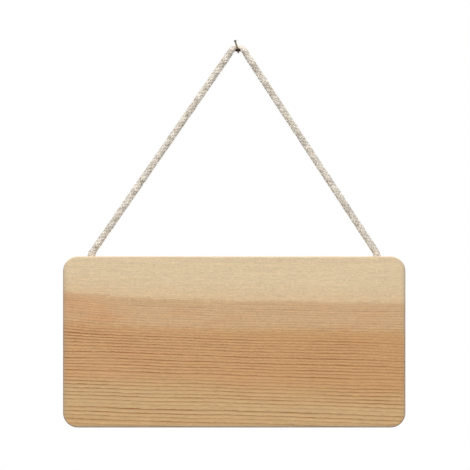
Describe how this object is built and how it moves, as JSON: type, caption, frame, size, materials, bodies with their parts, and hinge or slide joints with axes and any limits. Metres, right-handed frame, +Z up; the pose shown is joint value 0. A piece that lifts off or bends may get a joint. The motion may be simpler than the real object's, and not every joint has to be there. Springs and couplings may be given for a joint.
{
  "type": "hanging wooden plaque",
  "caption": "Blank rounded rectangular softwood plaque hung by a braided cotton rope from a small bent wall nail, the rope ends pinned into holes in the top edge.",
  "frame": {"origin": "on the nail's axis where it enters the wall", "axes": "+X to the right as seen from the front, +Y into the wall, +Z up; the plaque's face looks along -Y and its back lies on Y = 0"},
  "size_m": [0.3, 0.0295, 0.34],
  "materials": {
    "pine": "bare sanded softwood, pale sapwood above darker heartwood",
    "cotton_rope": "unbleached braided cotton, matt, softly fuzzy",
    "whipping_twine": "waxed twine",
    "bright_steel": "drawn wire with small dents",
    "browned_steel": "drawn wire, browned and a little rusty"
  },
  "bodies": {
    "nail": {"wall_nail": "browned_steel"},
    "rope": {"hanging_rope": "cotton_rope"},
    "plaque": {"board": "pine", "rope_end_left": "cotton_rope", "rope_end_right": "cotton_rope", "end_whipping_left": "whipping_twine", "end_whipping_right": "whipping_twine", "lock_pin_left_upper": "bright_steel", "lock_pin_left_lower": "bright_steel", "lock_pin_right_upper": "bright_steel", "lock_pin_right_lower": "bright_steel"}
  },
  "joints": [
    {"name": "sway", "type": "hinge", "parent": "nail", "child": "rope", "pos_m": [-0.0005, -0.0033, -0.00397], "axis": [0, 1, 0], "range_deg": [-15, 15]},
    {"name": "board_tilt", "type": "hinge", "parent": "rope", "child": "plaque", "pos_m": [-0.0036, -0.0075, -0.17597], "axis": [-1, 0, 0], "range_deg": [0, 90], "deforming": ["hanging_rope"]}
  ]
}
